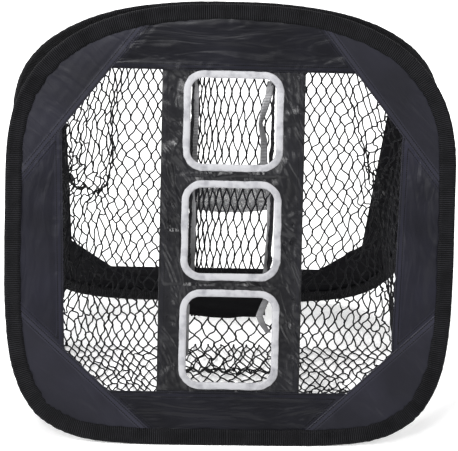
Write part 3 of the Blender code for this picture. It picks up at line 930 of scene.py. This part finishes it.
def gather_right(point, hold):
    """The right net has one long fold from the top, near the strip, out to its side."""
    x, z = point.x, point.z
    fold = np.interp(z, (0.25, 0.31, 0.38, 0.45, 0.49), (0.243, 0.218, 0.193, 0.166, 0.150))
    reach = hold * between_heights(z, 0.22, 0.50, 0.05)
    moved = drawn_to(x, fold, 0.94 * reach, 0.022)
    pleat = 0.010 * reach * math.exp(-(((x - fold) / 0.012) ** 2))
    lifted = drawn_to(z, 0.030 + 0.10 * max(0.0, x - 0.15), 0.6, 0.028)
    return Vector((moved, point.y - pleat, lifted))


def floor_place(x, share):
    """On the floor net, at x from the middle, from the wall's foot forward to the hem."""
    front = behind_front(x, foot_hem_down(x), BEHIND_CLOTH)
    outer = max(0.0, (abs(x) - NET_SIDE) / (NET_OUTER - NET_SIDE))
    start = FLOOR_LINE - 0.0015 - FOOT_IN * outer
    rise = max(0.0, (share - 0.45) / 0.55) ** 1.7
    spread = math.copysign((FLARE + FOOT_IN) * outer * (1 - share), x)
    z = ON_GROUND + rise * (front.z - ON_GROUND)
    return Vector((x + spread, start + (front.y - start) * share, z))


def as_it_is(point, hold):
    return point


def side_floor(sign, u, v):
    """The floor net at one side, knotted on along the foot of its hanging net."""
    x = sign * (NET_INNER + (NET_OUTER - FOOT_IN - NET_INNER) * u)
    start = net_wall(sign, u, 1.0, as_it_is) - floor_place(x, 0.0)
    return floor_place(x, v) + (1 - v) * start


def fold_up(obj):
    """Gives a soft piece its own copy of its mesh data."""
    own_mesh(obj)


def hang_net(name, shape, nodes):
    net = piece(name, shape, twine_black, nodes, "front_panel")
    for vert in net.data.vertices:
        vert.co.z = max(vert.co.z, 0.0006)
    fold_up(net)


wall_rows, floor_rows = 30, 17
for side, sign, gather, wall_columns, wall_area, floor_area in (
    ("left", -1, gather_left, 29, 0.0688, 0.0366),
    ("right", 1, gather_right, 23, 0.0535, 0.0295),
):
    wall = knotted_net(
        lambda u, v: net_wall(sign, u, v, gather),
        wall_columns,
        wall_rows,
        slack=0.0065,
        kink=0.0040,
        seed=3.0 + sign,
        loose=lambda u, v: 0.55 + 1.1 * u * u + 0.5 * v,
    )
    hang_net(
        f"hanging_net_{side}",
        wall,
        [f"catch_net_{side}"],
    )
    floor = knotted_net(
        lambda u, v: side_floor(sign, u, v),
        wall_columns,
        floor_rows,
        slack=0.007,
        seed=8.0 + sign,
    )
    hang_net(
        f"ground_net_{side}",
        floor,
        [f"floor_net_{side}"],
    )


# ---- side nets and dividers ----
# The same netting, cut to a wedge, closes each end of the tent and parts the two catch
# nets from the middle. Each is sewn to a hem of the front panel and knotted to the wall.
def wedge_net(name, sign, front_edge, back_edge, node_name, columns, rows, seed):
    """Netting between a seam on the front panel and the edge of the hanging net."""
    widest = max((back_edge(k / 20) - front_edge(k / 20)).length for k in range(21))

    def surface(u, v):
        fore, back = front_edge(v), back_edge(v)
        gap = back - fore
        across = gap.normalized() if gap.length > 0.004 else Vector((0, 1, 0))
        point = fore + across * widest * u
        sag = 0.010 * math.sin(math.pi * v)
        return Vector((point.x + sign * sag * u * (1 - u), point.y, max(point.z, 0.0022)))

    def kept(u, v):
        return widest * u <= (back_edge(v) - front_edge(v)).length + 0.004

    shape = knotted_net(surface, columns, rows, slack=0.003, seed=seed, kept=kept)
    hang_net(name, shape, [node_name])


for side, sign, gather in (("left", -1, gather_left), ("right", 1, gather_right)):

    def outer_hem(v):
        hem = behind_front(NET_OUTER, front_hem_down(NET_OUTER), BEHIND_CLOTH)
        foot = floor_place(NET_OUTER - FOOT_IN, 1.0)
        at = hem.lerp(foot, 0.05 + 0.95 * v)
        behind_band = 0.020 * math.sin(math.pi * min(1.0, 1.1 * v))
        return Vector((sign * (at.x + behind_band), at.y, at.z))

    def outer_wall(v):
        at = net_wall(sign, 1.0, 0.06 + 0.94 * v, as_it_is)
        return Vector((at.x + sign * 0.0015, at.y, at.z))

    end_name, end_node = f"end_net_{side}", f"side_gusset_{side}"
    wedge_net(end_name, sign, outer_hem, outer_wall, end_node, 20, 22, 15 + sign)
    seam_x = sign * (NET_SIDE - 0.0006)

    def strip_seam(v):
        down = OPENING_TOP + (OPENING_FOOT - OPENING_TOP) * v
        return behind_front(seam_x, down, BEHIND_CLOTH)

    def strip_wall(v):
        top = behind_front(seam_x, OPENING_TOP, BEHIND_CLOTH)
        return top.lerp(Vector((seam_x, FLOOR_LINE, ON_GROUND)), 0.02 + 0.98 * v)

    part_name, part_node = f"dividing_net_{side}", f"net_divider_{side}"
    wedge_net(part_name, sign, strip_seam, strip_wall, part_node, 26, 34, 21 + sign)


# ---- pockets behind the holes ----
# Behind each upper hole a net hangs from the rim's top to a line behind and below it, with
# a base of gauze back to the rim's foot: open and grey above, close and black below. Behind
# the last hole the net runs on down to the ground. Grey ribbed tapes edge each net.
POCKET_HALF = 0.056
POCKET_DROP = 0.068
POCKET_DEPTH = 0.095
BEHIND_RIM = 0.0030


def pocket_wall(down, u, v, belly):
    """The hanging net of a pocket, closer folded towards its left edge."""
    low = down + HOLE_HALF + POCKET_DROP
    top = down - HOLE_HALF - 0.001
    x = -0.0500 + 0.106 * u**1.5
    s = top + (low - top) * v
    deep = BEHIND_RIM + (POCKET_DEPTH - BEHIND_RIM) * v
    fold = 0.0022 * math.sin(u * 46) * (1 - u) * math.sin(math.pi * v)
    return behind_front(x, s, deep + belly * math.sin(math.pi * v) + fold)


def pocket_base(down, u, v, sag):
    """The gauze under a pocket, from the rim's foot back to the net's lowest line."""
    fore = down + HOLE_HALF + 0.006
    low = down + HOLE_HALF + POCKET_DROP - 0.002
    x = POCKET_HALF * (2 * u - 1)
    bow = sag * math.sin(math.pi * u) * v
    return behind_front(x, fore + (low - fore) * v + bow, BEHIND_RIM + (POCKET_DEPTH - 0.006) * v)


def gauze_cloth(surface, wide, long, pitch, thread):
    """Fine open weave: single threads each way, over and under."""
    lines = []
    ways = ((round(wide / pitch), 18, False), (round(long / pitch), 24, True))
    for count, samples, across in ways:
        for k in range(count + 1):
            line = []
            for i in range(samples + 1):
                a, b = k / count, i / samples
                point = surface(b, a) if across else surface(a, b)
                line.append(point + 0.0008 * wander(point, 120, 31.0))
            lines.append(line)
    shape = bmesh.new()
    lay_threads(shape, lines, thread, 0)
    return shape


gauze_thread, tree, shader = new_finish("fine grey gauze", (0.20, 0.20, 0.205), 0.7)
fluff = cloud(tree, solid_place(tree), 700, 3)
tint(tree, shader, fluff, (0.10, 0.10, 0.104), (0.36, 0.36, 0.37))
close_weave, tree, shader = new_finish("close black gauze", (0.002, 0.002, 0.003), 0.7)
shader.inputs["Specular IOR Level"].default_value = 0.06
fluff = cloud(tree, solid_place(tree), 500, 3)
tint(tree, shader, fluff, (0.0008, 0.0008, 0.001), (0.004, 0.004, 0.005))
grey_ribbon = ribbed_tape(
    "grey ribbed tape", (0.110, 0.110, 0.114), (0.400, 0.400, 0.410),
    roughness=0.70, rib=0.0018, depth=0.0006,
)


def soft_piece(name, shape, material, nodes, wall=0.0):
    obj = piece(name, shape, material, nodes, "front_panel", wall)
    fold_up(obj)
    return obj


def ribbon(name, path, width, node_name):
    """A tape that follows a path given as (x, down, behind, twist) places."""
    steps = 60
    far = np.linspace(0, 1, len(path))
    route = np.array(path, float)
    length = float(np.linalg.norm(np.diff(route[:, :3], axis=0), axis=1).sum())

    def place(u, v):
        x, down, behind, twist = (np.interp(v, far, route[:, k]) for k in range(4))
        out = (u - 0.5) * width
        ripple = 0.0006 * noise.noise(Vector((v * 16, u * 2, down * 9)))
        return behind_front(
            x + out * math.cos(twist), down, behind + out * math.sin(twist) + ripple
        )

    shape = laid_grid(4, steps, place, (width, length))
    lay = shape.loops.layers.uv["laid"]
    for face in shape.faces:
        for loop in face.loops:
            loop[lay].uv = loop[lay].uv.yx
    obj = soft_piece(name, shape, grey_ribbon, [node_name], 0.0007)


for name, belly in (("upper", 0.006), ("middle", 0.004)):
    down = HOLE_DOWN[name]
    wall = knotted_net(
        lambda u, v: pocket_wall(down, u, v, belly),
        22,
        9,
        slack=0.0030,
        kink=0.0026,
        seed=down * 90,
    )
    hang_net(
        f"pocket_wall_{name}", wall, [f"pocket_net_{name}"]
    )
    if name == "upper":
        weave = gauze_cloth(
            lambda u, v: pocket_base(down, u, v, 0.005), 0.112, 0.110, 0.0008, 0.00020
        )
        gauze, thickness = gauze_thread, 0.0
    else:
        weave = laid_grid(
            50,
            50,
            lambda u, v: pocket_base(down, u, v, 0.005)
            + 0.0015 * wander(Vector((u, v, 0)), 5, 2.0),
            (0.112, 0.112),
        )
        gauze, thickness = close_weave, 0.0004
    base = soft_piece(
        f"pocket_gauze_{name}", weave, gauze, [f"pocket_base_{name}"], thickness
    )
    for side, sign in (("left", -1), ("right", 1)):
        top, foot = down - HOLE_HALF + 0.008, down + HOLE_HALF + 0.004
        low = down + HOLE_HALF + POCKET_DROP

        x = sign * (POCKET_HALF + 0.0012)

        def surface(u, v):
            start = behind_front(x, top, BEHIND_RIM + 0.003)
            end = behind_front(x, low - 0.002, POCKET_DEPTH - 0.002)
            rim = behind_front(x, top + (foot - top) * v, BEHIND_RIM)
            return rim.lerp(start.lerp(end, v), u)

        gusset = knotted_net(surface, 8, 10, slack=0.0015, seed=down * 50 + sign)
        hang_net(
            f"pocket_end_{name}_{side}",
            gusset,
            [f"pocket_gusset_{name}_{side}"],
        )

# The tapes, each a path of (across, down, behind, twist) places.
for name, node_name, width, path in (
    (
        "a_left",
        "upper_left",
        0.0100,
        ((-0.0535, 0.106, 0.006, 0.3), (-0.0530, 0.150, 0.020, 0.1), (-0.0525, 0.228, 0.055, 0.0)),
    ),
    (
        "a_right",
        "upper_right",
        0.0105,
        (
            (0.0520, 0.106, 0.006, -0.5),
            (0.0500, 0.125, 0.010, -0.2),
            (0.0400, 0.165, 0.024, 0.9),
            (0.0465, 0.190, 0.036, 0.3),
            (0.0480, 0.228, 0.052, 0.0),
        ),
    ),
    (
        "b_left",
        "middle_left",
        0.0100,
        ((-0.0545, 0.260, 0.006, 0.4), (-0.0535, 0.320, 0.028, 0.2), (-0.0530, 0.385, 0.058, 0.0)),
    ),
    (
        "b_right",
        "middle_right",
        0.0100,
        ((0.0555, 0.260, 0.006, -0.2), (0.0570, 0.320, 0.028, 0.3), (0.0550, 0.385, 0.058, 0.5)),
    ),
    (
        "c_left",
        "lower_left",
        0.0100,
        ((-0.0600, 0.425, 0.030, 0.2), (-0.0590, 0.465, 0.060, 0.2), (-0.0580, 0.505, 0.090, 0.0)),
    ),
    (
        "c_right",
        "lower_right",
        0.0100,
        (
            (0.0570, 0.404, 0.008, -0.3),
            (0.0500, 0.422, 0.014, -0.2),
            (0.0440, 0.440, 0.022, 0.0),
            (0.0500, 0.453, 0.026, 0.4),
            (0.0580, 0.464, 0.028, 0.6),
        ),
    ),
):
    ribbon("pocket_tape_" + name, path, width, "pocket_tape_" + node_name)

LOWER_HALF = NET_SIDE - 0.0032
second_low = HOLE_DOWN["middle"] + HOLE_HALF + POCKET_DROP
lower_top = behind_front(0, second_low + 0.004, POCKET_DEPTH)
lower_foot_y = FLOOR_LINE - 0.004


def lower_wall(u, v):
    """Straight down from the pocket's base nearly to the ground, then back along it."""
    far = (0.0, 0.26, 0.55, 0.64, 0.76, 1.0)
    y = np.interp(v, far, (lower_top.y, -0.078, -0.070, -0.052, -0.018, lower_foot_y))
    z = np.interp(v, far, (lower_top.z, 0.084, 0.036, 0.018, 0.009, 0.0034))
    return Vector((LOWER_HALF * (2 * u - 1), y, z))


lower = knotted_net(lower_wall, 17, 11, slack=0.006, kink=0.0040, seed=61.0)
hang_net(
    "pocket_wall_lower",
    lower,
    ["pocket_net_lower"],
)
ground = knotted_net(
    lambda u, v: floor_place(LOWER_HALF * (2 * u - 1), 0.28 + 0.72 * v),
    16,
    13,
    slack=0.006,
    kink=0.0040,
    seed=67.0,
)
hang_net(
    "ground_net_centre",
    ground,
    ["floor_net_centre"],
)


# ---- net ties ----
# A short loop of webbing on each side band of the rear panel holds the catch net's outer
# edge out, so that the net stays open behind its window.
dress(("net_tie_left", "net_tie_right"), flap_tape)
